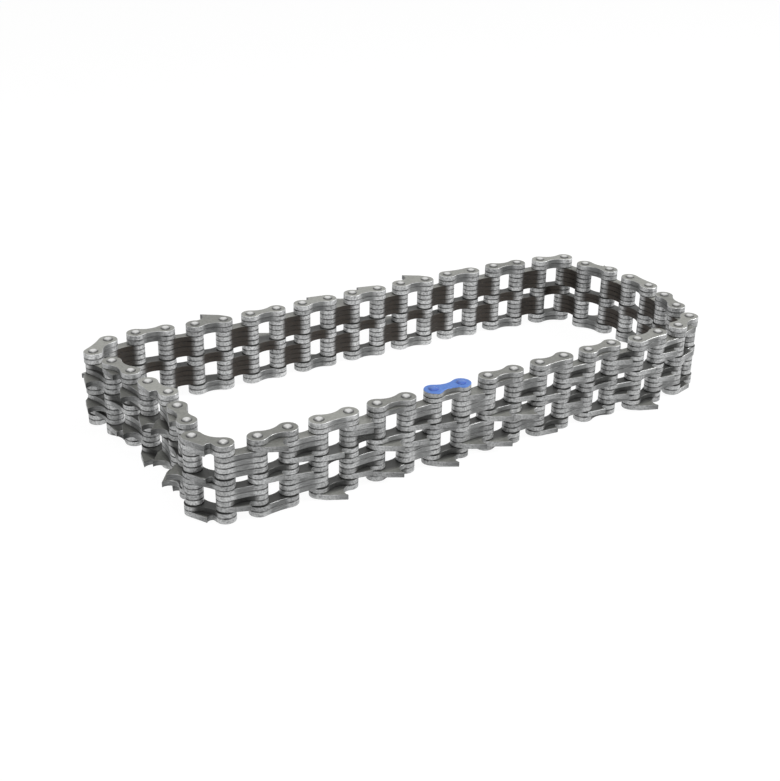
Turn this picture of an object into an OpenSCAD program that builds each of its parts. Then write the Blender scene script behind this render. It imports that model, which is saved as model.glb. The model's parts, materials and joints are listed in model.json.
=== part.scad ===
// Endless mortiser chain standing on its edge. Every pin is upright, so a link is a
// stack of flat plates that lie level. Outer links hold two riveted pins each, inner
// links turn on those pins. Links are numbered in the direction in which the teeth cut.

/* [Pins] */
// Distance between the two pins of a link
pin_pitch = 11.3; // [10.5:0.1:13]
// Diameter of a rivet's shank
rivet_d = 3.0; // [2.4:0.1:3.4]
// Clearance on the radius in the outer plates, which hold the rivet
hold_fit = 0.02; // [0.02:0.01:0.06]
// Clearance on the radius in the inner plates, which turn on the rivet
turn_fit = 0.05; // [0.02:0.01:0.1]
// Diameter of a rivet's formed head
head_d = 3.7; // [3.5:0.1:4.6]
// Height of a rivet's formed head
head_h = 0.5; // [0.3:0.05:0.8]
// Diameter of the flat in the middle of a rivet's head
head_flat_d = 1.6; // [0.8:0.1:2.2]

/* [Plates] */
// Thickness of one plate
plate_t = 1.94; // [1.5:0.02:2.4]
// Gap between neighbouring plates, and under a rivet's head
plate_gap = 0.06; // [0.04:0.01:0.12]
// End radius of an outer link's plate
outer_end_r = 3.5; // [3.1:0.1:4.2]
// Half width of an outer plate's waist
outer_waist = 1.9; // [1.6:0.1:2.6]
// End radius of an inner link's plate
inner_end_r = 3.1; // [2.8:0.1:3.4]
// Half width of an inner plate's waist
inner_waist = 1.6; // [1.4:0.1:2.2]
// How far a plain back dips between a plate's two ends
back_dip = 0.5; // [0.2:0.1:0.9]

/* [Teeth] */
// Height of a cutter's tip above the line through the pins
cutter_h = 8.2; // [6.5:0.1:9.5]
// Place of a cutter's tip along the link, from the trailing pin
cutter_x = 6.4; // [5:0.1:7]
// Height of a cutter's heel above the trailing pin
cutter_heel = 4.8; // [4.3:0.1:6]
// Radius of the gullet in front of a cutter
gullet_r = 3.6; // [2.6:0.1:4]
// Height of a raker's tip above the line through the pins
raker_h = 4.7; // [4:0.1:5.6]
// Place of a raker's tip along the link, from the trailing pin
raker_x = 7.0; // [5.4:0.1:7.6]
// Radius of the notch in front of a raker
notch_r = 1.9; // [1.5:0.1:2.2]
// Hook of a tooth's front face, in degrees
hook = 25; // [5:1:40]

/* [Hidden] */
$fn = 48;
steel = "#8f9089";
bright_steel = "#c9cacb";
marker_blue = "#4b78cd";

// Overlap by which arcs and straights of an outline run into each other
blend_lap = 0.02;

// Owner of each plate level from the bottom up: outer or inner link
level_owner = "ooiiiiooiiiioo";
outer_levels = [for (k = [0 : len(level_owner) - 1]) if (level_owner[k] == "o") k];
inner_levels = [for (k = [0 : len(level_owner) - 1]) if (level_owner[k] == "i") k];
level_step = plate_t + plate_gap;
function level_z(k) = head_h + plate_gap + k * level_step;
head_seat_z = level_z(len(level_owner));

// Plates of each link, named from the bottom up: W has a waist on both sides, F a
// plain back, R is a raker with a low tooth, C is a cutter with a tall hooked tooth
outer_plan = [
    "RWFRRR", "FFRWCW", "CWWRFF", "WCCFFW", "CWFRFW", "WCCFFW", "RWFRFF", "WRFWFW", "CWFRFF",
    "RWFRRW", "WRWRWW", "WWRWFF", "WCFWCW", "RWWFWW", "WWCWFW", "CFWWFF", "WWWFWC", "FWCWFR",
    "CWFFWR", "WWWCFW", "WRFWWC", "CWWFRW", "FWWCFF", "WRFWRW", "CWWCWR", "RCFWRW"
];
inner_plan = [
    "RWFFFFFF", "FFFRRWFF", "RWFFWWRR", "FFFRRWFF", "CFFFFFFR", "FFFCRWFF", "FFRWFRWF", "FRWFFFRW",
    "FFRWFRWF", "RWFFWRFF", "FFFRWFFF", "FWFFFRFW", "FFCWFWFF", "FWFFFFCF", "FCFFWFFF", "WFFFCFFW",
    "FFFCFWFF", "CFFWFFFC", "FFCFFFWF", "WFFFFCFF", "FCFFFFFW", "FFCWFCFF", "FWCFFCFW", "FCFFWFCF",
    "CFFFCWFF", "FFFCWFFF"
];
links = len(outer_plan);
pairs = links / 2;
closing_link_number = 5;

// Way the chain lies, in whole degrees from +X. Inner links lie in opposite pairs: one
// list holds the first link of each pair, and its partner points the other way.
outer_lay_angles = [
    -53, 5, 2, -1, -1, 1, 3, 3, 7,
    26, 73, 92, 114, 167, 173, 175, 176, 177,
    180, 180, 175, 173, 222, 284, 272, 262
];
inner_lay_angles = [-7, -1, 3, 2, 1, 0, 0, -8, 6, 74, 82, 99, 104];
// Inner links of the two long runs are paired across the loop, those of its ends in mirrored order
run_pair_count = 9;
function partner(k) = k < pairs + run_pair_count ? k - pairs : links + run_pair_count - 1 - k;
function inner_angle(k) = k < pairs ? inner_lay_angles[k] : inner_lay_angles[partner(k)] + 180;

// Two outer links are turned so that the ring closes exactly
ring_closer_index = [5, 24];
function is_closer(k) = k == ring_closer_index[0] || k == ring_closer_index[1];
function heading(a) = [cos(a), sin(a)];
function sum(list) = list * [for (item = list) 1];
function total(list) = [sum([for (v = list) v.x]), sum([for (v = list) v.y])];
open_gap = -total(concat(
    [for (k = [0 : links - 1]) if (!is_closer(k)) heading(outer_lay_angles[k])],
    [for (k = [0 : links - 1]) heading(inner_angle(k))]
));
gap_angle = atan2(open_gap.y, open_gap.x);
gap_spread = acos(norm(open_gap) / 2);
function outer_angle(k) =
    k == ring_closer_index[0] ? gap_angle + gap_spread :
    k == ring_closer_index[1] ? gap_angle - gap_spread : outer_lay_angles[k];

// Pins in loop order: each outer link has two, the trailing one first
function step_angle(n) = n % 2 == 0 ? outer_angle(n / 2) : inner_angle((n - 1) / 2);
raw_pins = [
    for (n = 0, at = [0, 0]; n < 2 * links; at = at + pin_pitch * heading(step_angle(n)), n = n + 1) at
];

// Tooth tips, with the cutting side to the right of the way the link points
function tip(kind) = kind == "C" ? [cutter_x, -cutter_h] : [raker_x, -raker_h];
function turned(v, a) = [v.x * cos(a) - v.y * sin(a), v.x * sin(a) + v.y * cos(a)];
function has_tip(kind) = kind == "C" || kind == "R";
raw_tips = [
    for (k = [0 : links - 1])
    for (side = [0, 1])
    for (kind = side == 0 ? outer_plan[k] : inner_plan[k])
    if (has_tip(kind)) raw_pins[2 * k + side] + turned(tip(kind), step_angle(2 * k + side))
];

// The origin is the middle of the chain's outline, at the height on which it stands
reach = [outer_end_r, outer_end_r];
corners = concat(raw_tips, [for (p = raw_pins) p - reach], [for (p = raw_pins) p + reach]);
low_corner = [min([for (c = corners) c.x]), min([for (c = corners) c.y])];
high_corner = [max([for (c = corners) c.x]), max([for (c = corners) c.y])];
pins = [for (p = raw_pins) p - (low_corner + high_corner) / 2];

function two_digits(n) = str(n < 10 ? "0" : "", n);
function outer_name(n) = str("outer_link_", two_digits(n));
function inner_name(n) = str("inner_link_", two_digits(n));
plain_outers = [for (n = [1 : links]) if (n != closing_link_number) n];

// Arc radius of a waist that blends into two ends of radius r
function waist_arc(r, waist) =
    (pow(pin_pitch / 2, 2) + pow(waist, 2) - pow(r - blend_lap, 2)) / (2 * (r - blend_lap - waist));

// Web between the two ends, hollowed to a waist on both sides
module web(r, waist) {
    arc = waist_arc(r, waist);
    half = r * sin(atan2(waist + arc, pin_pitch / 2));
    difference() {
        translate([0, -half]) square([pin_pitch, 2 * half]);
        for (side = [-1, 1]) translate([pin_pitch / 2, side * (waist + arc)]) circle(arc);
    }
}

// Point where a straight from the given point runs onto the trailing end
function heel_seat(point, r) =
    let (a = atan2(-point.y, point.x) + acos(r / norm(point))) (r - blend_lap) * [cos(a), -sin(a)];

// Tooth with a straight back and a hollow front that leans over the gullet
module tooth(back, foot, front_r) {
    tip_point = back[len(back) - 1];
    difference() {
        polygon(concat([[0, 0]], back, [foot, [foot.x, 0]]));
        translate(tip_point + front_r * [cos(hook), sin(hook)]) circle(front_r);
    }
}

module cutter(r) {
    heel = [0, -cutter_heel];
    tooth([heel_seat(heel, r), heel, tip("C")], [pin_pitch, blend_lap - r], gullet_r);
}

module raker(r, waist) {
    tooth([heel_seat(tip("R"), r), tip("R")], [raker_x + notch_r, -waist], notch_r);
}

// Back without a tooth, which dips a little between the ends
module plain_back(r) {
    intersection() {
        web(r, r - back_dip);
        translate([0, -r]) square([pin_pitch, r]);
    }
}

// One plate of the given kind, lying level with its trailing pin at the origin
module plate(kind, r, waist, bore_r) {
    linear_extrude(plate_t) difference() {
        union() {
            for (x = [0, pin_pitch]) translate([x, 0]) circle(r);
            web(r, waist);
            if (kind == "F") plain_back(r);
            if (kind == "R") raker(r, waist);
            if (kind == "C") cutter(r);
        }
        for (x = [0, pin_pitch]) translate([x, 0]) circle(bore_r);
    }
}

// Rivet with a low domed head at each end, the middle of each dome flattened
module rivet() {
    rivet_l = head_seat_z + head_h;
    dome_middle = (pow(head_d / 2, 2) + pow(head_h, 2) - pow(head_flat_d / 2, 2)) / (2 * head_h);
    dome_r = norm([head_flat_d / 2, dome_middle]);
    rotate_extrude() {
        square([rivet_d / 2, rivet_l]);
        for (end = [0, 1]) translate([0, end * rivet_l]) mirror([0, end]) intersection() {
            square([head_d / 2, head_h]);
            translate([0, dome_middle]) circle(dome_r);
        }
    }
}

// Frame of a link: its trailing pin at the origin, its leading pin along +X
module on_link(first_pin) {
    translate([pins[first_pin].x, pins[first_pin].y, 0]) rotate(step_angle(first_pin)) children();
}

module outer_plates(n, wanted) {
    on_link(2 * n - 2) for (k = wanted) translate([0, 0, level_z(outer_levels[k])])
        plate(outer_plan[n - 1][k], outer_end_r, outer_waist, rivet_d / 2 + hold_fit);
}

module rivets(n) {
    on_link(2 * n - 2) for (x = [0, pin_pitch]) translate([x, 0, 0]) rivet();
}

last_outer = len(outer_levels) - 1;

module outer_link(n) {
    color(steel) outer_plates(n, [0 : last_outer]);
    color(bright_steel) rivets(n);
}

module inner_link(n) {
    color(steel) on_link(2 * n - 1) for (k = [0 : len(inner_levels) - 1])
        translate([0, 0, level_z(inner_levels[k])])
            plate(inner_plan[n - 1][k], inner_end_r, inner_waist, rivet_d / 2 + turn_fit);
}

module closing_link_marker_plate() {
    color(marker_blue) outer_plates(closing_link_number, [last_outer]);
}

module closing_link_plates() {
    color(steel) outer_plates(closing_link_number, [0 : last_outer - 1]);
}

module closing_link_rivets() {
    color(bright_steel) rivets(closing_link_number);
}

for (n = plain_outers) outer_link(n);
for (n = [1 : links]) inner_link(n);
closing_link_marker_plate();
closing_link_plates();
closing_link_rivets();
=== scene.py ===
import json
import math

import bpy
from mathutils import Matrix, Vector
from mathutils.geometry import tessellate_polygon

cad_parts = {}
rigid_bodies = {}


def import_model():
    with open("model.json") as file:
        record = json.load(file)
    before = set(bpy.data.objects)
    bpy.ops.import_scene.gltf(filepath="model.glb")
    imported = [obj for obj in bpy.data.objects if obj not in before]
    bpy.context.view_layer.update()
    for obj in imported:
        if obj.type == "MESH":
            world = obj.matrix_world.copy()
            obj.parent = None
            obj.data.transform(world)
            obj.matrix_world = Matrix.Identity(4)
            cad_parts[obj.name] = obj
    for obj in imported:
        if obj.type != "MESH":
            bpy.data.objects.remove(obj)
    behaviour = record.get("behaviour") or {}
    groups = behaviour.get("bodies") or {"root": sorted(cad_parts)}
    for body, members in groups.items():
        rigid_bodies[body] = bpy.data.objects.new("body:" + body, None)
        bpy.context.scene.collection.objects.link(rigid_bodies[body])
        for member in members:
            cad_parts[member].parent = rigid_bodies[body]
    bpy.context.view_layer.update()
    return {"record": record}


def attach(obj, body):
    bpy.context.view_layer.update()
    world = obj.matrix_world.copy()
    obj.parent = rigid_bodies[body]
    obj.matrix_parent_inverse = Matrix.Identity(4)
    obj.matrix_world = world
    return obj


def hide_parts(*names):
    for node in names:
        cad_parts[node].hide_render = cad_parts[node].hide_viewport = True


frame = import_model()

# Lay of the chain: an endless loop of 52 upright steel pins, each link spanning two of them.
# Outer and inner links take turns round the loop, and every link points the way its teeth cut.
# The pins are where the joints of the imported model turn.
LINKS = 26
CLOSING_LINK = 5

pins = {}
for joint in frame["record"]["behaviour"]["joints"]:
    pins[int(joint["name"].split("_")[1]) - 1] = Vector(joint["pos_m"][:2])
for mount in frame["record"]["mounts"]:
    if mount["name"] == "standing_rivet_flat":
        pins[2 * CLOSING_LINK - 2] = Vector(mount["pos_m"][:2])


def link_lay(trailing):
    """Place of a link's trailing pin, and the angle in which the link points."""
    start = pins[trailing % (2 * LINKS)]
    along = pins[(trailing + 1) % (2 * LINKS)] - start
    return start, math.atan2(along.y, along.x)


# Link plates: stamped from 2 mm spring steel strip, tumbled, hardened and oiled. Every plate has
# two round ends on the pins. Its loop side is hollowed to a waist, and its outer side is a second
# waist, a plain back, a low raker tooth or a tall hooked cutter tooth. Sizes are in millimetres.
MM = 0.001
PIN_PITCH = 11.3
PLATE_T = 1.94
PLATE_GAP = 0.06
LEVEL_STEP = PLATE_T + PLATE_GAP
HEAD_H = 0.5
FIRST_LEVEL = HEAD_H + PLATE_GAP
TUMBLED_EDGE = 0.11
BACK_DIP = 0.5
CUTTER_TIP = Vector((6.4, -8.2))
CUTTER_HEEL = Vector((0.0, -4.8))
GULLET_R = 3.6
RAKER_TIP = Vector((7.0, -4.7))
NOTCH_R = 1.9
HOOK = math.radians(25)
BLEND_LAP = 0.02
KINDS = "WFRC"
WAIST_PIECES = 8
END_PIECES = 13
FRONT_PIECES = {"C": 7, "R": 5}
REST_PIECES = 3
BORE_SIDES = 14
SHARPEST_TURN = -0.5
TOOTH_CLEAR = 0.3
# Walls lighten towards the pins, more on the loop side: rub wear and a painted highlight on the
# round ends. The same zone near the pins also gets the painted shadow in the gaps between links.
BY_PIN_START, BY_PIN_SPAN = 2.4, 1.6
RUB_AND_SHEEN_LOOP_SIDE, RUB_AND_SHEEN_OUTSIDE = 0.9, 0.6
HOLLOW_REACH, HOLLOW_SPAN = 3.2, 1.58
HOLLOW_CLEAR = 0.5
SHARP_CORNER = math.radians(28)


def arc_points(centre, radius, start, end, pieces):
    """Points of an arc from one angle to another, both ends included."""
    turns = [start + (end - start) * k / pieces for k in range(pieces + 1)]
    return [centre + radius * Vector((math.cos(a), math.sin(a))) for a in turns]


def arc_meeting(centre, radius, other, other_radius):
    """Angle on the first circle at which a tooth's hollow front first meets the other circle."""
    apart = other - centre
    away = apart.length
    middle = (radius ** 2 - other_radius ** 2 + away ** 2) / (2 * away)
    swing = math.acos(middle / radius)
    towards = math.atan2(apart.y, apart.x)
    front = math.pi + HOOK
    return max((a - front) % -math.tau + front for a in (towards + swing, towards - swing))


def seat_angle(point, radius):
    """Angle on the trailing end at which a straight from the point runs onto it."""
    return math.tau - math.atan2(-point.y, point.x) - math.acos(radius / point.length)


def waist_arc(end_r, waist):
    """Radius of a waist's arc, and the angle at which it runs into the round ends."""
    half, lap_r = PIN_PITCH / 2, end_r - BLEND_LAP
    radius = (half ** 2 + waist ** 2 - lap_r ** 2) / (2 * (lap_r - waist))
    return radius, math.atan2(waist + radius, half)


def plate_outline(kind, end_r, waist):
    """Outline of a plate in millimetres, counter-clockwise, trailing pin at the origin."""
    trailing, leading = Vector((0.0, 0.0)), Vector((PIN_PITCH, 0.0))
    half = PIN_PITCH / 2
    hollow_r, lean = waist_arc(end_r, waist)
    loop_side = Vector((half, waist + hollow_r))
    outer_side = Vector((half, -waist - hollow_r))
    from_angle = lean - math.pi
    if kind in "WF":
        depth = waist if kind == "W" else end_r - BACK_DIP
        back_r, back_lean = waist_arc(end_r, depth)
        from_angle, to_angle = back_lean - math.pi, math.tau - back_lean
        middle = Vector((half, -depth - back_r))
        back = arc_points(middle, back_r, math.pi - back_lean, back_lean, WAIST_PIECES)[1:-1]
    else:
        tip, front_r = (CUTTER_TIP, GULLET_R) if kind == "C" else (RAKER_TIP, NOTCH_R)
        heel = CUTTER_HEEL if kind == "C" else RAKER_TIP
        front = tip + front_r * Vector((math.cos(HOOK), math.sin(HOOK)))
        to_angle = seat_angle(heel, end_r)
        if kind == "R":
            foot = arc_meeting(front, front_r, outer_side, hollow_r)
            met = front + front_r * Vector((math.cos(foot), math.sin(foot))) - outer_side
            start = math.atan2(met.y, met.x)
            rest = arc_points(outer_side, hollow_r, start, lean, REST_PIECES)[1:-1]
        elif (leading - front).length < front_r + end_r - BLEND_LAP:
            foot = arc_meeting(front, front_r, leading, end_r)
            met = front + front_r * Vector((math.cos(foot), math.sin(foot))) - leading
            from_angle, rest = math.atan2(met.y, met.x), []
        else:
            chord = Vector((PIN_PITCH, BLEND_LAP - end_r)) - tip
            along = chord.normalized()
            met = tip + along * (2 * (front - tip).dot(along)) - front
            foot, rest = math.atan2(met.y, met.x), []
            from_angle = -math.pi / 2
        hollow = arc_points(front, front_r, math.pi + HOOK, foot, FRONT_PIECES[kind])
        back = ([heel] if kind == "C" else []) + hollow + rest
    return (
        arc_points(leading, end_r, from_angle, math.pi - lean, END_PIECES)
        + arc_points(loop_side, hollow_r, -lean, lean - math.pi, WAIST_PIECES)[1:-1]
        + arc_points(trailing, end_r, lean, to_angle, END_PIECES)
        + back
    )


def drawn_in(outline, amount):
    """The outline moved inwards, for the flat that is left inside the tumbled edge."""
    moved = []
    for k, point in enumerate(outline):
        before = (point - outline[k - 1]).normalized()
        after = (outline[(k + 1) % len(outline)] - point).normalized()
        sides = [Vector((-d.y, d.x)) for d in (before, after)]
        push = (sides[0] + sides[1]) / (1 + max(sides[0].dot(sides[1]), SHARPEST_TURN))
        moved.append(point + amount * push)
    return moved


def plate_mesh(name, kind, end_r, waist, bore_r):
    """A plate with bores and tumbled edges. Face attributes mark its walls and what stands clear of
    the stack, a point attribute marks the flat of a tooth, and corner attributes mark the walls
    by the pins, how far they are rubbed and lit with a painted highlight, and the hollows on the
    loop side and outside."""
    outline = plate_outline(kind, end_r, waist)
    flat = drawn_in(outline, TUMBLED_EDGE)
    bores = [
        arc_points(Vector((x, 0.0)), bore_r, 0, -math.tau, BORE_SIDES)[:-1]
        for x in (0.0, PIN_PITCH)
    ]
    count = len(outline)
    rings = [
        (flat, 0.0), (outline, TUMBLED_EDGE), (outline, PLATE_T - TUMBLED_EDGE), (flat, PLATE_T)
    ]
    points = [(p.x, p.y, z) for ring, z in rings for p in ring]
    faces, walls, clear = [], [], []
    for step in range(3):
        for k in range(count):
            a, b = step * count + k, step * count + (k + 1) % count
            faces.append((a, b, b + count, a + count))
            walls.append(1.0)
            lowest = min(points[a][1], points[b][1])
            clear.append(1.0 if lowest < -end_r - TOOTH_CLEAR else 0.0)
    cap_rows = []
    for level, z in ((0, 0.0), (3, PLATE_T)):
        row = list(range(level * count, (level + 1) * count))
        for bore in bores:
            row += range(len(points), len(points) + len(bore))
            points += [(p.x, p.y, z) for p in bore]
        cap_rows.append(row)
    hole = len(bores[0])
    for start in (count, count + hole):
        for k in range(hole):
            a, b = start + k, start + (k + 1) % hole
            faces.append((cap_rows[0][a], cap_rows[0][b], cap_rows[1][b], cap_rows[1][a]))
            walls.append(1.0)
            clear.append(0.0)
    flats = [p for ring in (flat, *bores) for p in ring]
    for a, b, c in tessellate_polygon([[p.to_3d() for p in ring] for ring in (flat, *bores)]):
        if (flats[b] - flats[a]).cross(flats[c] - flats[a]) < 0:
            b, c = c, b
        faces.append((cap_rows[1][a], cap_rows[1][b], cap_rows[1][c]))
        faces.append((cap_rows[0][a], cap_rows[0][c], cap_rows[0][b]))
        for marks in (walls, clear):
            marks += [0.0, 0.0]
    mesh = bpy.data.meshes.new(name)
    mesh.from_pydata([tuple(v * MM for v in p) for p in points], [], faces)
    mesh.polygons.foreach_set("use_smooth", [wall > 0 for wall in walls])
    mesh.attributes.new("tooth", "FLOAT", "POINT").data.foreach_set(
        "value", [1.0 if point[1] < -end_r - TOOTH_CLEAR else 0.0 for point in points]
    )
    for title, marks in (("wall", walls), ("clear", clear)):
        mesh.attributes.new(title, "FLOAT", "FACE").data.foreach_set("value", marks)
    sides = {"by_pin": [], "rubbed": [], "loop_hollow": [], "outer_hollow": []}
    for face, wall in zip(mesh.polygons, walls):
        for v in face.vertices:
            x, y = points[v][0], points[v][1]
            along = abs(x - PIN_PITCH / 2)
            soot = wall * min(max(HOLLOW_REACH - along / HOLLOW_SPAN, 0.0), 1.0)
            by_pin = wall * min(max((along - BY_PIN_START) / BY_PIN_SPAN, 0.0), 1.0)
            sides["by_pin"].append(by_pin)
            sides["rubbed"].append(by_pin * (RUB_AND_SHEEN_LOOP_SIDE if y > 0 else RUB_AND_SHEEN_OUTSIDE))
            sides["loop_hollow"].append(soot if y > HOLLOW_CLEAR else 0.0)
            sides["outer_hollow"].append(soot if y < -HOLLOW_CLEAR and kind == "W" else 0.0)
    for title, marks in sides.items():
        mesh.attributes.new(title, "FLOAT", "CORNER").data.foreach_set("value", marks)
    corner = {}
    for k, point in enumerate(outline):
        before, after = point - outline[k - 1], outline[(k + 1) % count] - point
        corner[k] = before.angle(after) > SHARP_CORNER
    sharp = mesh.attributes.new("sharp_edge", "BOOLEAN", "EDGE").data
    for edge, mark in zip(mesh.edges, sharp):
        a, b = edge.vertices
        on_outline = max(a, b) < 4 * count
        same_corner = a % count == b % count and corner[a % count]
        same_ring = a // count == b // count and a // count in (1, 2)
        mark.value = on_outline and (same_corner or same_ring)
    mesh.validate()
    return mesh


def plate_kinds(name, end_r, waist, bore_r):
    """A collection of the four kinds of plate of one link type, in the order of KINDS."""
    kinds = bpy.data.collections.new(name)
    for k, kind in enumerate(KINDS):
        title = f"{name}_{k}"
        kinds.objects.link(
            bpy.data.objects.new(title, plate_mesh(title, kind, end_r, waist, bore_r))
        )
    return kinds


# Finish of the plates: hardened grey steel, tumbled and oiled. Flats are dull, and get painted
# shade inside the stack. Walls are streaked, rubbed and lit with a painted highlight by the pins,
# and free edges are worn bare with a painted highlight. Oil lies black in the joints between a
# link's plates, and painted shadow lies black in the gaps near the pins where the plates of two
# links meet.
# The hollows are burnt brown on the loop side; outside, the hollows of waisted plates below the top
# pair are darkened grey.
NOISE_LOW, NOISE_HIGH = 0.3, 0.7
PATCH_LOW, PATCH_HIGH = 0.3, 0.6
OIL_AND_SHADE_BLACK = (0.01, 0.01, 0.009)
PLATE_METALLIC = 0.5


def joined(tree, out_socket, in_socket):
    """Links two sockets of a tree."""
    tree.links.new(out_socket, in_socket)


grain = bpy.data.node_groups.new("Steel grain", "ShaderNodeTree")
grain.interface.new_socket("Mottle Size", in_out="INPUT", socket_type="NodeSocketFloat")
grain.interface.new_socket("Streak Size", in_out="INPUT", socket_type="NodeSocketFloat")
for title in ("Mottle", "Streak", "Height"):
    grain.interface.new_socket(title, in_out="OUTPUT", socket_type="NodeSocketFloat")
into = grain.nodes.new("NodeGroupInput")
out = grain.nodes.new("NodeGroupOutput")
place = grain.nodes.new("ShaderNodeTexCoord")
mottle = grain.nodes.new("ShaderNodeTexNoise")
mottle.inputs["Detail"].default_value = 5
mottle.inputs["Roughness"].default_value = 0.62
joined(grain, place.outputs["Object"], mottle.inputs["Vector"])
joined(grain, into.outputs["Mottle Size"], mottle.inputs["Scale"])
stretch = grain.nodes.new("ShaderNodeMapping")
stretch.inputs["Scale"].default_value = (0.07, 0.07, 1.0)
joined(grain, place.outputs["Object"], stretch.inputs["Vector"])
streak = grain.nodes.new("ShaderNodeTexNoise")
streak.inputs["Detail"].default_value = 3
joined(grain, stretch.outputs["Vector"], streak.inputs["Vector"])
joined(grain, into.outputs["Streak Size"], streak.inputs["Scale"])
height = grain.nodes.new("ShaderNodeMix")
height.inputs["Factor"].default_value = 0.5
joined(grain, mottle.outputs["Fac"], height.inputs["A"])
joined(grain, streak.outputs["Fac"], height.inputs["B"])
joined(grain, mottle.outputs["Fac"], out.inputs["Mottle"])
joined(grain, streak.outputs["Fac"], out.inputs["Streak"])
joined(grain, height.outputs["Result"], out.inputs["Height"])

wear = bpy.data.node_groups.new("Patchy wear", "ShaderNodeTree")
wear.interface.new_socket("Patch Size", in_out="INPUT", socket_type="NodeSocketFloat")
wear.interface.new_socket("Amount", in_out="INPUT", socket_type="NodeSocketFloat")
wear.interface.new_socket("Worn", in_out="OUTPUT", socket_type="NodeSocketFloat")
into = wear.nodes.new("NodeGroupInput")
out = wear.nodes.new("NodeGroupOutput")
place = wear.nodes.new("ShaderNodeTexCoord")
patch = wear.nodes.new("ShaderNodeTexNoise")
patch.inputs["Detail"].default_value = 3
joined(wear, place.outputs["Object"], patch.inputs["Vector"])
joined(wear, into.outputs["Patch Size"], patch.inputs["Scale"])
spread = wear.nodes.new("ShaderNodeMapRange")
spread.inputs["From Min"].default_value = PATCH_LOW
spread.inputs["From Max"].default_value = PATCH_HIGH
joined(wear, patch.outputs["Fac"], spread.inputs["Value"])
joined(wear, into.outputs["Amount"], spread.inputs["To Max"])
joined(wear, spread.outputs["Result"], out.inputs["Worn"])

plate_lines = bpy.data.node_groups.new("Plate lines", "ShaderNodeTree")
for title in ("First Level", "Level Step", "Plate Share", "Line Width"):
    plate_lines.interface.new_socket(title, in_out="INPUT", socket_type="NodeSocketFloat")
for title in ("Top Line", "Bottom Line"):
    plate_lines.interface.new_socket(title, in_out="OUTPUT", socket_type="NodeSocketFloat")
into = plate_lines.nodes.new("NodeGroupInput")
out = plate_lines.nodes.new("NodeGroupOutput")
place = plate_lines.nodes.new("ShaderNodeTexCoord")
split = plate_lines.nodes.new("ShaderNodeSeparateXYZ")
joined(plate_lines, place.outputs["Object"], split.inputs["Vector"])
within = split.outputs["Z"]
for operation, title in (("SUBTRACT", "First Level"), ("DIVIDE", "Level Step"), ("FRACT", None)):
    step = plate_lines.nodes.new("ShaderNodeMath")
    step.operation = operation
    joined(plate_lines, within, step.inputs[0])
    if title:
        joined(plate_lines, into.outputs[title], step.inputs[1])
    within = step.outputs["Value"]
below_top = plate_lines.nodes.new("ShaderNodeMath")
below_top.operation = "SUBTRACT"
joined(plate_lines, into.outputs["Plate Share"], below_top.inputs[0])
joined(plate_lines, into.outputs["Line Width"], below_top.inputs[1])
top_line = plate_lines.nodes.new("ShaderNodeMapRange")
joined(plate_lines, within, top_line.inputs["Value"])
joined(plate_lines, below_top.outputs["Value"], top_line.inputs["From Min"])
joined(plate_lines, into.outputs["Plate Share"], top_line.inputs["From Max"])
joined(plate_lines, top_line.outputs["Result"], out.inputs["Top Line"])
bottom_line = plate_lines.nodes.new("ShaderNodeMapRange")
bottom_line.inputs["To Min"].default_value = 1.0
bottom_line.inputs["To Max"].default_value = 0.0
joined(plate_lines, within, bottom_line.inputs["Value"])
joined(plate_lines, into.outputs["Line Width"], bottom_line.inputs["From Max"])
joined(plate_lines, bottom_line.outputs["Result"], out.inputs["Bottom Line"])


def colour_mix(tree, factor, first, second, blend="MIX"):
    """A colour mix. A colour is a socket, or a value that is set on the mix itself."""
    mix = tree.nodes.new("ShaderNodeMix")
    mix.data_type = "RGBA"
    mix.blend_type = blend
    for name, given in (("Factor", factor), ("A", first), ("B", second)):
        kind = "VALUE" if name == "Factor" else "RGBA"
        socket = next(s for s in mix.inputs if s.name == name and s.type == kind)
        if isinstance(given, bpy.types.NodeSocket):
            joined(tree, given, socket)
        elif kind == "VALUE":
            socket.default_value = given
        else:
            socket.default_value = (*given, 1.0)
    return next(s for s in mix.outputs if s.type == "RGBA")


def number_map(tree, value, low, high):
    """A value from NOISE_LOW to NOISE_HIGH, as noise gives it, spread from low to high."""
    spread = tree.nodes.new("ShaderNodeMapRange")
    spread.inputs["From Min"].default_value = NOISE_LOW
    spread.inputs["From Max"].default_value = NOISE_HIGH
    spread.inputs["To Min"].default_value = low
    spread.inputs["To Max"].default_value = high
    joined(tree, value, spread.inputs["Value"])
    return spread.outputs["Result"]


def surface_value(tree, name):
    """An attribute that the mesh carries, as a value."""
    node = tree.nodes.new("ShaderNodeAttribute")
    node.attribute_name = name
    return node.outputs["Fac"]


def worked_out(tree, operation, first, second):
    """Two values, sockets or numbers, put through one step of arithmetic and kept from 0 to 1."""
    step = tree.nodes.new("ShaderNodeMath")
    step.operation = operation
    step.use_clamp = True
    for socket, given in zip(step.inputs, (first, second)):
        if isinstance(given, bpy.types.NodeSocket):
            joined(tree, given, socket)
        else:
            socket.default_value = given
    return step.outputs["Value"]


def product(tree, first, *others):
    """The values multiplied."""
    for other in others:
        first = worked_out(tree, "MULTIPLY", first, other)
    return first


def placed_group(tree, group, **values):
    """A shader group in a material, with its own values."""
    node = tree.nodes.new("ShaderNodeGroup")
    node.node_tree = group
    for name, value in values.items():
        node.inputs[name.replace("_", " ")].default_value = value
    return node


def finish_start(name, bump_strength, bump_height):
    """A new material with a bump from the grain, its tree, its shader and its grain."""
    material = bpy.data.materials.new(name)
    material.use_nodes = True
    tree = material.node_tree
    shader = tree.nodes["Principled BSDF"]
    texture = placed_group(tree, grain, Mottle_Size=1100.0, Streak_Size=5200.0)
    bump = tree.nodes.new("ShaderNodeBump")
    bump.inputs["Strength"].default_value = bump_strength
    bump.inputs["Distance"].default_value = bump_height
    joined(tree, texture.outputs["Height"], bump.inputs["Height"])
    joined(tree, bump.outputs["Normal"], shader.inputs["Normal"])
    return material, tree, shader, texture


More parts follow.
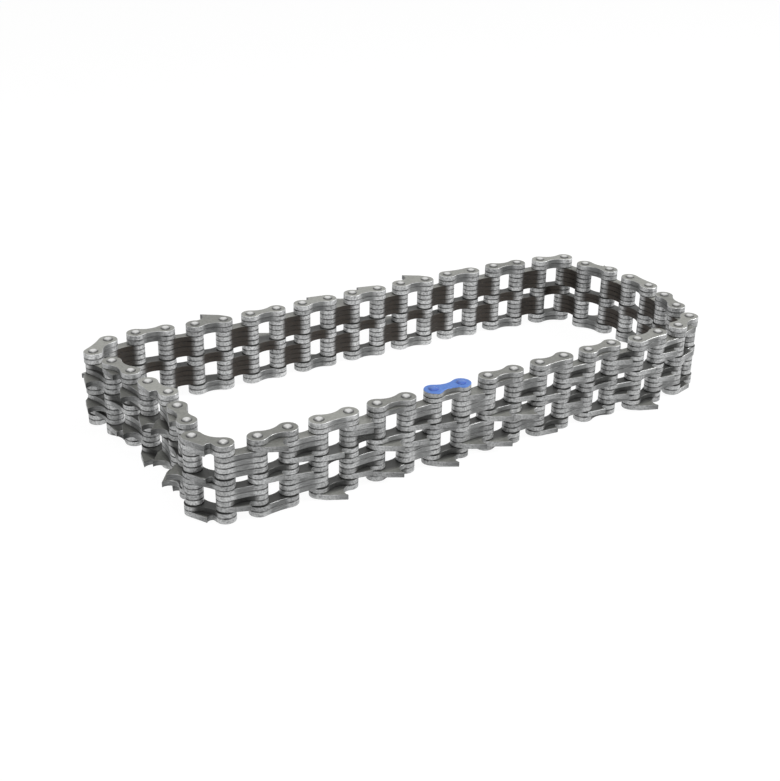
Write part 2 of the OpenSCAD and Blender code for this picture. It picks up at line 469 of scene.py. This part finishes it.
def steel_colour(tree, texture):
    """Colour of a plate: dull flats, with painted shade where they lie inside the stack, streaked
    walls that are rubbed and lit with a painted highlight round the pins, painted glints there, and
    its own tone."""
    wall = surface_value(tree, "wall")
    # Painted shade on the flats: 'lit' is 1 on the top pair and tooth flats, 0.85 just below, 0
    # deeper in the stack.
    lit = worked_out(tree, "MAXIMUM", surface_value(tree, "lit"), surface_value(tree, "tooth"))
    flats = colour_mix(tree, lit, (0.085, 0.086, 0.083), (0.33, 0.332, 0.307))
    # Walls lighter round the pins: rub wear and a painted highlight; the glints there are painted
    # highlights.
    rubbed = surface_value(tree, "rubbed")
    walls = colour_mix(tree, rubbed, (0.28, 0.285, 0.281), (0.54, 0.547, 0.545))
    body = colour_mix(tree, wall, flats, walls)
    clouded = colour_mix(
        tree, number_map(tree, texture.outputs["Mottle"], 0.0, 0.4), body, (0.15, 0.15, 0.145)
    )
    streak_share = product(tree, number_map(tree, texture.outputs["Streak"], 0.0, 0.95), wall)
    streaked = colour_mix(tree, streak_share, clouded, (0.11, 0.112, 0.114))
    glint = placed_group(tree, wear, Patch_Size=1500.0, Amount=0.6)
    glint_share = product(tree, glint.outputs["Worn"], rubbed)
    glinting = colour_mix(tree, glint_share, streaked, (0.86, 0.867, 0.87))
    return colour_mix(tree, 1.0, glinting, surface_value(tree, "tone"), "MULTIPLY")


plate_steel, tree, shader, texture = finish_start("plate_steel", 0.22, 0.00005)
lines = placed_group(
    tree,
    plate_lines,
    First_Level=FIRST_LEVEL * MM,
    Level_Step=LEVEL_STEP * MM,
    Plate_Share=PLATE_T / LEVEL_STEP,
    Line_Width=0.155,
)
dry = placed_group(tree, wear, Patch_Size=330.0, Amount=0.5)
by_pin = surface_value(tree, "by_pin")
faint = product(
    tree,
    worked_out(tree, "ADD", product(tree, by_pin, 0.5), 0.5),
    worked_out(tree, "SUBTRACT", 1.0, dry.outputs["Worn"]),
)
groove, edges = 0.0, 0.0
# Dark lines at plate edges: where a link's plates lie on each other it is oil in the joint; near
# the pins, where no plate of the same link lies beside, it is painted shadow in the gap between
# links.
for side, neighbour in (("Top Line", "above"), ("Bottom Line", "below")):
    line = lines.outputs[side]
    wide_line = worked_out(tree, "ADD", line, line)
    seam = product(
        tree,
        wide_line,
        worked_out(tree, "SUBTRACT", by_pin, surface_value(tree, "no_seam_" + neighbour)),
    )
    shared = surface_value(tree, "shared_" + neighbour)
    joint = product(tree, wide_line, faint, shared)
    groove = worked_out(tree, "MAXIMUM", groove, worked_out(tree, "MAXIMUM", seam, joint))
    free_edge = product(tree, line, line, line, worked_out(tree, "SUBTRACT", 1.0, shared))
    edges = worked_out(tree, "MAXIMUM", edges, free_edge)
wall = surface_value(tree, "wall")
oil_and_shade = product(tree, worked_out(tree, "SUBTRACT", groove, surface_value(tree, "clear")), wall)
oiled_and_shaded = colour_mix(tree, oil_and_shade, steel_colour(tree, texture), OIL_AND_SHADE_BLACK)
worn = placed_group(tree, wear, Patch_Size=420.0, Amount=0.6)
# Free edges with no plate beside them: worn bare metal, and a painted highlight along the rim.
bare_edge_and_highlight = product(
    tree, edges, wall, worn.outputs["Worn"], worked_out(tree, "SUBTRACT", 1.0, groove)
)
edge_bare_and_highlit = colour_mix(tree, bare_edge_and_highlight, oiled_and_shaded, (0.72, 0.725, 0.725))
inside = product(tree, surface_value(tree, "loop_hollow"), surface_value(tree, "burnt"))
outside = product(tree, surface_value(tree, "outer_hollow"), surface_value(tree, "burnt_outside"))
brown = colour_mix(
    tree,
    number_map(tree, texture.outputs["Mottle"], 0.0, 1.0),
    (0.056, 0.046, 0.038),
    (0.024, 0.02, 0.017),
)
# Outer hollows of waisted plates below the top pair are darkened grey.
outer_hollow_dark = colour_mix(
    tree,
    number_map(tree, texture.outputs["Mottle"], 0.0, 1.0),
    (0.068, 0.069, 0.067),
    (0.024, 0.024, 0.023),
)
hollow_colour = colour_mix(tree, outside, brown, outer_hollow_dark)
hollow_colour = colour_mix(tree, product(tree, oil_and_shade, 0.8), hollow_colour, OIL_AND_SHADE_BLACK)
hollow_share = product(
    tree,
    worked_out(tree, "MAXIMUM", inside, outside),
    number_map(tree, texture.outputs["Mottle"], 1.0, 0.85),
)
joined(tree, colour_mix(tree, hollow_share, edge_bare_and_highlit, hollow_colour), shader.inputs["Base Color"])
joined(tree, number_map(tree, texture.outputs["Mottle"], 0.34, 0.5), shader.inputs["Roughness"])
joined(tree, worked_out(tree, "ADD", PLATE_METALLIC, bare_edge_and_highlight), shader.inputs["Metallic"])
shader.inputs["Specular IOR Level"].default_value = 0.1

# Stack of plates: the plates of a link are threaded on its two pins, level above level. The tree
# takes one point for each plate, lifts it to its level, turns the right kind of plate to the link's
# heading, and gives each plate a slightly different tone.
TOP_LEVEL = 13
TOP_PAIR = 12
LIT_BELOW_TOP = 0.85
DARKEST_TONE, BRIGHTEST_TONE = 0.76, 1.2
FIRST_SEED = 7
plate_stack = bpy.data.node_groups.new("Plate stack", "GeometryNodeTree")
for title, kind in (
    ("Geometry", "NodeSocketGeometry"),
    ("Plate Kinds", "NodeSocketCollection"),
    ("Trailing Pin", "NodeSocketVector"),
    ("Heading", "NodeSocketFloat"),
    ("First Level", "NodeSocketFloat"),
    ("Level Step", "NodeSocketFloat"),
    ("Darkest Tone", "NodeSocketFloat"),
    ("Brightest Tone", "NodeSocketFloat"),
    ("Seed", "NodeSocketInt"),
    ("Finish", "NodeSocketMaterial"),
):
    plate_stack.interface.new_socket(title, in_out="INPUT", socket_type=kind)
plate_stack.interface.new_socket("Geometry", in_out="OUTPUT", socket_type="NodeSocketGeometry")
nodes = plate_stack.nodes
into = nodes.new("NodeGroupInput")
out = nodes.new("NodeGroupOutput")
level = nodes.new("GeometryNodeInputNamedAttribute")
level.data_type = "FLOAT"
level.inputs["Name"].default_value = "level"
lift = nodes.new("ShaderNodeMath")
lift.operation = "MULTIPLY_ADD"
joined(plate_stack, level.outputs["Attribute"], lift.inputs[0])
joined(plate_stack, into.outputs["Level Step"], lift.inputs[1])
joined(plate_stack, into.outputs["First Level"], lift.inputs[2])
upright = nodes.new("ShaderNodeCombineXYZ")
joined(plate_stack, lift.outputs["Value"], upright.inputs["Z"])
threaded = nodes.new("ShaderNodeVectorMath")
joined(plate_stack, into.outputs["Trailing Pin"], threaded.inputs[0])
joined(plate_stack, upright.outputs["Vector"], threaded.inputs[1])
seat = nodes.new("GeometryNodeSetPosition")
joined(plate_stack, into.outputs["Geometry"], seat.inputs["Geometry"])
joined(plate_stack, threaded.outputs["Vector"], seat.inputs["Position"])
tone = nodes.new("FunctionNodeRandomValue")
tone.data_type = "FLOAT"
spans = [s for s in tone.inputs if s.type == "VALUE"]
joined(plate_stack, into.outputs["Darkest Tone"], spans[0])
joined(plate_stack, into.outputs["Brightest Tone"], spans[1])
joined(plate_stack, into.outputs["Seed"], tone.inputs["Seed"])
keep_tone = nodes.new("GeometryNodeStoreNamedAttribute")
keep_tone.data_type = "FLOAT"
keep_tone.domain = "POINT"
keep_tone.inputs["Name"].default_value = "tone"
joined(plate_stack, seat.outputs["Geometry"], keep_tone.inputs["Geometry"])
joined(plate_stack, next(s for s in tone.outputs if s.type == "VALUE"), keep_tone.inputs["Value"])
kinds = nodes.new("GeometryNodeCollectionInfo")
kinds.inputs["Separate Children"].default_value = True
kinds.inputs["Reset Children"].default_value = True
joined(plate_stack, into.outputs["Plate Kinds"], kinds.inputs["Collection"])
which = nodes.new("GeometryNodeInputNamedAttribute")
which.data_type = "INT"
which.inputs["Name"].default_value = "kind"
turn = nodes.new("ShaderNodeCombineXYZ")
joined(plate_stack, into.outputs["Heading"], turn.inputs["Z"])
facing = nodes.new("FunctionNodeEulerToRotation")
joined(plate_stack, turn.outputs["Vector"], facing.inputs["Euler"])
stack = nodes.new("GeometryNodeInstanceOnPoints")
stack.inputs["Pick Instance"].default_value = True
joined(plate_stack, keep_tone.outputs["Geometry"], stack.inputs["Points"])
joined(plate_stack, kinds.outputs["Instances"], stack.inputs["Instance"])
joined(plate_stack, which.outputs["Attribute"], stack.inputs["Instance Index"])
joined(plate_stack, facing.outputs["Rotation"], stack.inputs["Rotation"])
solid = nodes.new("GeometryNodeRealizeInstances")
joined(plate_stack, stack.outputs["Instances"], solid.inputs["Geometry"])
coat = nodes.new("GeometryNodeSetMaterial")
joined(plate_stack, solid.outputs["Geometry"], coat.inputs["Geometry"])
joined(plate_stack, into.outputs["Finish"], coat.inputs["Material"])
joined(plate_stack, coat.outputs["Geometry"], out.inputs["Geometry"])


def made_by(name, points, tree, values):
    """An object that the tree turns into its piece. Values go to the tree's named inputs."""
    maker = bpy.data.objects.new(name, points)
    bpy.context.scene.collection.objects.link(maker)
    modifier = maker.modifiers.new("made", "NODES")
    modifier.node_group = tree
    for socket in tree.interface.items_tree:
        if socket.item_type == "SOCKET" and socket.in_out == "INPUT" and socket.name in values:
            modifier[socket.identifier] = values[socket.name]
    return maker


def made_plain(maker):
    """The piece that a tree makes, as a plain mesh with only the attributes its finish reads."""
    graph = bpy.context.evaluated_depsgraph_get()
    mesh = bpy.data.meshes.new_from_object(
        maker.evaluated_get(graph), preserve_all_data_layers=True, depsgraph=graph
    )
    maker.modifiers.clear()
    points = maker.data
    maker.data = mesh
    mesh.name = maker.name
    bpy.data.meshes.remove(points)
    for spare in ("kind", "level"):
        if spare in mesh.attributes:
            mesh.attributes.remove(mesh.attributes[spare])
    return maker


def stacked_plates(name, trailing, plan, levels, burnt_levels, kinds, finish):
    """The plates of one link, from its plan of plate kinds and the levels that they lie on."""
    points = bpy.data.meshes.new(name + "_points")
    points.from_pydata([(0, 0, 0)] * len(plan), [], [])
    points.attributes.new("kind", "INT", "POINT").data.foreach_set(
        "value", [KINDS.index(kind) for kind in plan]
    )
    marks = {
        "level": levels,
        "burnt": [level in burnt_levels for level in levels],
        # Below the top pair the outer hollows of waisted plates are darkened.
        "burnt_outside": [level < TOP_PAIR for level in levels],
        # lit sets the painted shade on a plate's flats: none on the top pair, a little just below
        # it, full deeper down.
        "lit": [LIT_BELOW_TOP if v == TOP_PAIR - 1 else v >= TOP_PAIR for v in levels],
    }
    for title, step, last in (("above", 1, TOP_LEVEL), ("below", -1, 0)):
        shared = [level + step in levels for level in levels]
        ends = [level == last for level in levels]
        marks["no_seam_" + title] = [a or b for a, b in zip(shared, ends)]
        marks["shared_" + title] = shared
    for title, values in marks.items():
        points.attributes.new(title, "FLOAT", "POINT").data.foreach_set(
            "value", [float(value) for value in values]
        )
    start, heading = link_lay(trailing)
    return made_by(
        name,
        points,
        plate_stack,
        {
            "Plate Kinds": kinds,
            "Trailing Pin": (start.x, start.y, 0.0),
            "Heading": heading,
            "First Level": FIRST_LEVEL * MM,
            "Level Step": LEVEL_STEP * MM,
            "Darkest Tone": DARKEST_TONE,
            "Brightest Tone": BRIGHTEST_TONE,
            "Seed": FIRST_SEED + trailing,
            "Finish": finish,
        },
    )


# Outer links: six plates each, in three pairs at the bottom, the middle and the top of the chain,
# pressed on two rivets. The fifth one is left for the closing link. The middle pair runs on the
# guide bar, so its hollows are burnt.
OUTER_LEVELS = (0, 1, 6, 7, 12, 13)
MIDDLE_LEVELS = (6, 7)
OUTER_PLAN = (
    "RWFRRR FFRWCW CWWRFF WCCFFW CWFRFW WCCFFW RWFRFF WRFWFW CWFRFF "
    "RWFRRW WRWRWW WWRWFF WCFWCW RWWFWW WWCWFW CFWWFF WWWFWC FWCWFR "
    "CWFFWR WWWCFW WRFWWC CWWFRW FWWCFF WRFWRW CWWCWR RCFWRW"
).split()
outer_kinds = plate_kinds("outer_plate", end_r=3.5, waist=1.9, bore_r=1.52)
outer_stacks = {}
for number, plan in enumerate(OUTER_PLAN, 1):
    if number != CLOSING_LINK:
        node = f"outer_link_{number:02d}"
        outer_stacks[node] = stacked_plates(
            node + "_stack",
            2 * number - 2,
            plan,
            OUTER_LEVELS,
            MIDDLE_LEVELS,
            outer_kinds,
            plate_steel,
        )
for node, stack in outer_stacks.items():
    made_plain(stack)
    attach(stack, node)
    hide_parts(node)

# Inner links: eight plates each, in two groups of four between the pairs of the outer links, with
# bores that turn on the rivets. Most have plain backs outside, a few carry teeth. Their hollows on
# the loop side are all burnt.
INNER_LEVELS = (2, 3, 4, 5, 8, 9, 10, 11)
INNER_PLAN = (
    "RWFFFFFF FFFRRWFF RWFFWWRR FFFRRWFF CFFFFFFR FFFCRWFF FFRWFRWF FRWFFFRW FFRWFRWF "
    "RWFFWRFF FFFRWFFF FWFFFRFW FFCWFWFF FWFFFFCF FCFFWFFF WFFFCFFW FFFCFWFF CFFWFFFC "
    "FFCFFFWF WFFFFCFF FCFFFFFW FFCWFCFF FWCFFCFW FCFFWFCF CFFFCWFF FFFCWFFF"
).split()
inner_kinds = plate_kinds("inner_plate", end_r=3.1, waist=1.6, bore_r=1.55)
inner_stacks = {}
for number, plan in enumerate(INNER_PLAN, 1):
    node = f"inner_link_{number:02d}"
    inner_stacks[node] = stacked_plates(
        node + "_stack", 2 * number - 1, plan, INNER_LEVELS, INNER_LEVELS, inner_kinds, plate_steel
    )
for node, stack in inner_stacks.items():
    made_plain(stack)
    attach(stack, node)
    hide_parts(node)

# Rivets: bright drawn steel pins, two to each outer link. Each end is spun over into a low dome
# with a small flat in its middle, just clear of the outermost plate.
RIVET_R = 1.5
HEAD_R = 1.85
HEAD_FLAT_R = 0.8
RIVET_L = FIRST_LEVEL + (TOP_LEVEL + 1) * LEVEL_STEP + HEAD_H
ROUND = 28
DOME_PIECES = 4
RIM_IN, RIM_DOWN = 0.04, 0.03
RIM_LIP, RIM_UNDER = 0.005, 0.05
RIM_SHADE_START, RIM_SHADE_SPAN = 0.9, 0.7
dome_middle = (HEAD_R ** 2 + HEAD_H ** 2 - HEAD_FLAT_R ** 2) / (2 * HEAD_H)
dome_r = math.hypot(HEAD_FLAT_R, dome_middle)
dome = [
    HEAD_FLAT_R + (HEAD_R - HEAD_FLAT_R) * k / DOME_PIECES for k in range(DOME_PIECES + 1)
]
low_end = [(r, dome_middle - math.sqrt(dome_r ** 2 - r ** 2)) for r in dome]
low_end[-1] = (HEAD_R - RIM_IN, low_end[-1][1] - RIM_DOWN)
low_end += [(HEAD_R, HEAD_H - RIM_LIP), (HEAD_R - RIM_UNDER, HEAD_H), (RIVET_R, HEAD_H)]
profile = low_end + [(r, RIVET_L - z) for r, z in reversed(low_end)]
points, faces = [], []
for r, z in profile:
    for k in range(ROUND):
        a = math.tau * k / ROUND
        points.append((r * math.cos(a) * MM, r * math.sin(a) * MM, z * MM))
for row in range(len(profile) - 1):
    for k in range(ROUND):
        a, b = row * ROUND + k, row * ROUND + (k + 1) % ROUND
        faces.append((a, b, b + ROUND, a + ROUND))
last = (len(profile) - 1) * ROUND
faces.append(tuple(reversed(range(ROUND))))
faces.append(tuple(range(last, last + ROUND)))
rivet_mesh = bpy.data.meshes.new("rivet")
rivet_mesh.from_pydata(points, [], faces)
# The head darkens from the middle of its dome out to the rim: painted shade on the slope, with oil
# at the rim.
ring = [min(max((r - RIM_SHADE_START) / RIM_SHADE_SPAN, 0.0), 1.0) for r, z in profile]
rivet_mesh.attributes.new("edge", "FLOAT", "POINT").data.foreach_set(
    "value", [mark for mark in ring for k in range(ROUND)]
)
rivet_mesh.polygons.foreach_set("use_smooth", [True] * len(faces))
rivet = bpy.data.objects.new("rivet", rivet_mesh)

rivet_steel, tree, shader, texture = finish_start("rivet_steel", 0.2, 0.00003)
bright = colour_mix(
    tree,
    number_map(tree, texture.outputs["Mottle"], 0.0, 0.5),
    (0.72, 0.72, 0.71),
    (0.48, 0.48, 0.475),
)
# Painted shade on the outer slope of each head, on bare steel and on the blue paint alike.
rim_shade = product(tree, surface_value(tree, "edge"), 0.9)
rim_shaded = colour_mix(tree, rim_shade, bright, (0.03, 0.03, 0.03))
painted = surface_value(tree, "painted")
blue_head = colour_mix(tree, rim_shade, (0.08, 0.19, 0.6), (0.035, 0.1, 0.45))
joined(tree, colour_mix(tree, painted, rim_shaded, blue_head), shader.inputs["Base Color"])
joined(tree, number_map(tree, texture.outputs["Mottle"], 0.24, 0.36), shader.inputs["Roughness"])
joined(tree, worked_out(tree, "SUBTRACT", 1.0, painted), shader.inputs["Metallic"])

rivet_pair = bpy.data.node_groups.new("Rivet pair", "GeometryNodeTree")
for title, kind in (
    ("Geometry", "NodeSocketGeometry"),
    ("Rivet", "NodeSocketObject"),
    ("Trailing Pin", "NodeSocketVector"),
    ("Step", "NodeSocketVector"),
    ("Finish", "NodeSocketMaterial"),
):
    rivet_pair.interface.new_socket(title, in_out="INPUT", socket_type=kind)
rivet_pair.interface.new_socket("Geometry", in_out="OUTPUT", socket_type="NodeSocketGeometry")
nodes = rivet_pair.nodes
into = nodes.new("NodeGroupInput")
out = nodes.new("NodeGroupOutput")
row = nodes.new("GeometryNodeMeshLine")
row.inputs["Count"].default_value = 2
joined(rivet_pair, into.outputs["Trailing Pin"], row.inputs["Start Location"])
joined(rivet_pair, into.outputs["Step"], row.inputs["Offset"])
one = nodes.new("GeometryNodeObjectInfo")
joined(rivet_pair, into.outputs["Rivet"], one.inputs["Object"])
pair = nodes.new("GeometryNodeInstanceOnPoints")
joined(rivet_pair, row.outputs["Mesh"], pair.inputs["Points"])
joined(rivet_pair, one.outputs["Geometry"], pair.inputs["Instance"])
solid = nodes.new("GeometryNodeRealizeInstances")
joined(rivet_pair, pair.outputs["Instances"], solid.inputs["Geometry"])
coat = nodes.new("GeometryNodeSetMaterial")
joined(rivet_pair, solid.outputs["Geometry"], coat.inputs["Geometry"])
joined(rivet_pair, into.outputs["Finish"], coat.inputs["Material"])
joined(rivet_pair, coat.outputs["Geometry"], out.inputs["Geometry"])


def two_rivets(name, trailing):
    """The two rivets of an outer link."""
    start, heading = link_lay(trailing)
    step = PIN_PITCH * MM * Vector((math.cos(heading), math.sin(heading), 0.0))
    return made_by(
        name,
        bpy.data.meshes.new(name + "_points"),
        rivet_pair,
        {
            "Rivet": rivet,
            "Trailing Pin": (start.x, start.y, 0.0),
            "Step": tuple(step),
            "Finish": rivet_steel,
        },
    )


link_rivets = {node: two_rivets(node + "_rivets", 2 * int(node[-2:]) - 2) for node in outer_stacks}
for node, pair in link_rivets.items():
    made_plain(pair)
    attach(pair, node)

# Closing link: the outer link that joins the ring. Its plates and rivets are like the others, but
# its top plate and the rivet heads on it are brushed with matt blue marking paint, which ends in a
# ragged brim on the plate's wall.
closing_plan = OUTER_PLAN[CLOSING_LINK - 1]
closing_pin = 2 * CLOSING_LINK - 2
BRIM_LOW, BRIM_HIGH = 0.7, 0.12

marker_paint, tree, shader, texture = finish_start("marker_paint", 0.3, 0.00005)
coated = colour_mix(
    tree,
    number_map(tree, texture.outputs["Mottle"], 0.0, 0.6),
    (0.1, 0.235, 0.66),
    (0.07, 0.165, 0.5),
)
place = tree.nodes.new("ShaderNodeTexCoord")
split = tree.nodes.new("ShaderNodeSeparateXYZ")
joined(tree, place.outputs["Object"], split.inputs["Vector"])
brim = tree.nodes.new("ShaderNodeMapRange")
plate_top = HEAD_H + (TOP_LEVEL + 1) * LEVEL_STEP
brim.inputs["From Min"].default_value = (plate_top - BRIM_LOW) * MM
brim.inputs["From Max"].default_value = (plate_top - BRIM_HIGH) * MM
joined(tree, split.outputs["Z"], brim.inputs["Value"])
run = placed_group(tree, wear, Patch_Size=260.0, Amount=1.0)
edge_of_paint = worked_out(tree, "GREATER_THAN", brim.outputs["Result"], run.outputs["Worn"])
brushed = worked_out(
    tree,
    "MAXIMUM",
    edge_of_paint,
    worked_out(tree, "SUBTRACT", 1.0, surface_value(tree, "wall")),
)
joined(
    tree,
    colour_mix(tree, brushed, steel_colour(tree, texture), coated),
    shader.inputs["Base Color"],
)
joined(tree, number_map(tree, texture.outputs["Mottle"], 0.42, 0.58), shader.inputs["Roughness"])
joined(
    tree,
    product(tree, worked_out(tree, "SUBTRACT", 1.0, brushed), PLATE_METALLIC),
    shader.inputs["Metallic"],
)

closing_plates = made_plain(
    stacked_plates(
        "closing_link_stack",
        closing_pin,
        closing_plan[:-1],
        OUTER_LEVELS[:-1],
        MIDDLE_LEVELS,
        outer_kinds,
        plate_steel,
    )
)
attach(closing_plates, "closing_link")
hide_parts("closing_link_plates")

marker_plate = made_plain(
    stacked_plates(
        "closing_link_blue_plate",
        closing_pin,
        closing_plan[-1:],
        OUTER_LEVELS[-1:],
        (),
        outer_kinds,
        marker_paint,
    )
)
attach(marker_plate, "closing_link")
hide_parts("closing_link_marker_plate")

closing_rivets = made_plain(two_rivets("closing_link_pins", closing_pin))
closing_rivets.data.attributes.new("painted", "FLOAT", "FACE").data.foreach_set(
    "value",
    [1.0 if f.center.z > (RIVET_L - HEAD_H) * MM else 0.0 for f in closing_rivets.data.polygons],
)
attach(closing_rivets, "closing_link")
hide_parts("closing_link_rivets")

for kinds in (outer_kinds, inner_kinds):
    for sample in list(kinds.objects):
        bpy.data.objects.remove(sample)
    bpy.data.collections.remove(kinds)
bpy.data.objects.remove(rivet)

# Stage: a pale floor under the chain, a white surround and three large soft lamps. Floor and world
# are plain white to the camera and in reflections.
FLOOR_HALF = 2.5
FLOOR_Z = -0.00003
FLOOR_GLOW, GLOW_SHARE = 1.06, 0.9
FILL_LIGHT = 0.14
floor_mesh = bpy.data.meshes.new("floor")
floor_corners = [(-FLOOR_HALF, -FLOOR_HALF), (FLOOR_HALF, -FLOOR_HALF)]
floor_corners += [(FLOOR_HALF, FLOOR_HALF), (-FLOOR_HALF, FLOOR_HALF)]
floor_mesh.from_pydata([(x, y, FLOOR_Z) for x, y in floor_corners], [], [(0, 1, 2, 3)])
floor = bpy.data.objects.new("floor", floor_mesh)
bpy.context.scene.collection.objects.link(floor)


def white_rays(tree):
    """1 for camera, glossy and transmission rays, which show the white surround."""
    path = tree.nodes.new("ShaderNodeLightPath")
    seen = path.outputs["Is Camera Ray"]
    for name in ("Is Glossy Ray", "Is Transmission Ray"):
        either = tree.nodes.new("ShaderNodeMath")
        either.operation = "MAXIMUM"
        joined(tree, seen, either.inputs[0])
        joined(tree, path.outputs[name], either.inputs[1])
        seen = either.outputs["Value"]
    return seen


pale_floor = bpy.data.materials.new("pale_floor")
pale_floor.use_nodes = True
tree = pale_floor.node_tree
tree.nodes.remove(tree.nodes["Principled BSDF"])
matt = tree.nodes.new("ShaderNodeBsdfDiffuse")
matt.inputs["Color"].default_value = (0.9, 0.9, 0.9, 1)
glow = tree.nodes.new("ShaderNodeEmission")
glow.inputs["Color"].default_value = (1, 1, 1, 1)
glow.inputs["Strength"].default_value = FLOOR_GLOW
blend = tree.nodes.new("ShaderNodeMixShader")
share = tree.nodes.new("ShaderNodeMath")
share.operation = "MULTIPLY"
share.inputs[1].default_value = GLOW_SHARE
joined(tree, white_rays(tree), share.inputs[0])
joined(tree, share.outputs["Value"], blend.inputs["Fac"])
joined(tree, matt.outputs["BSDF"], blend.inputs[1])
joined(tree, glow.outputs["Emission"], blend.inputs[2])
joined(tree, blend.outputs["Shader"], tree.nodes["Material Output"].inputs["Surface"])
floor_mesh.materials.append(pale_floor)

world = bpy.data.worlds.new("white_surround")
bpy.context.scene.world = world
world.use_nodes = True
tree = world.node_tree
surround = tree.nodes["Background"]
surround.inputs["Color"].default_value = (1, 1, 1, 1)
strength = tree.nodes.new("ShaderNodeMapRange")
strength.inputs["To Min"].default_value = FILL_LIGHT
strength.inputs["To Max"].default_value = 1.0
joined(tree, white_rays(tree), strength.inputs["Value"])
joined(tree, strength.outputs["Result"], surround.inputs["Strength"])

for name, place, power, size in (
    ("front_lamp", (0.75, -0.5, 0.55), 9.0, 0.5),
    ("left_lamp", (-0.85, -0.3, 0.45), 3.5, 0.5),
    ("top_lamp", (-0.1, -0.1, 1.1), 3.0, 0.7),
):
    lamp = bpy.data.lights.new(name, "AREA")
    lamp.energy = power
    lamp.size = size
    holder = bpy.data.objects.new(name, lamp)
    holder.location = place
    holder.rotation_euler = (-Vector(place)).to_track_quat("-Z", "Y").to_euler()
    bpy.context.scene.collection.objects.link(holder)

# Camera: at the angle, distance and focal length of the photograph.
CAMERA_PLACE = (-0.25556, -0.39737, 0.2288)
CAMERA_TURN, CAMERA_DOWN, CAMERA_ROLL = -31.876, 25.457, 1.205
CAMERA_LENS, SENSOR_WIDTH = 63.34, 36
camera_data = bpy.data.cameras.new("camera")
camera_data.sensor_fit = "HORIZONTAL"
camera_data.sensor_width = SENSOR_WIDTH
camera_data.lens = CAMERA_LENS
camera = bpy.data.objects.new("camera", camera_data)
camera.matrix_world = (
    Matrix.Translation(CAMERA_PLACE)
    @ Matrix.Rotation(math.radians(CAMERA_TURN), 4, "Z")
    @ Matrix.Rotation(math.radians(90 - CAMERA_DOWN), 4, "X")
    @ Matrix.Rotation(math.radians(CAMERA_ROLL), 4, "Z")
)
bpy.context.scene.collection.objects.link(camera)
bpy.context.scene.camera = camera
bpy.context.scene.view_settings.view_transform = "Standard"
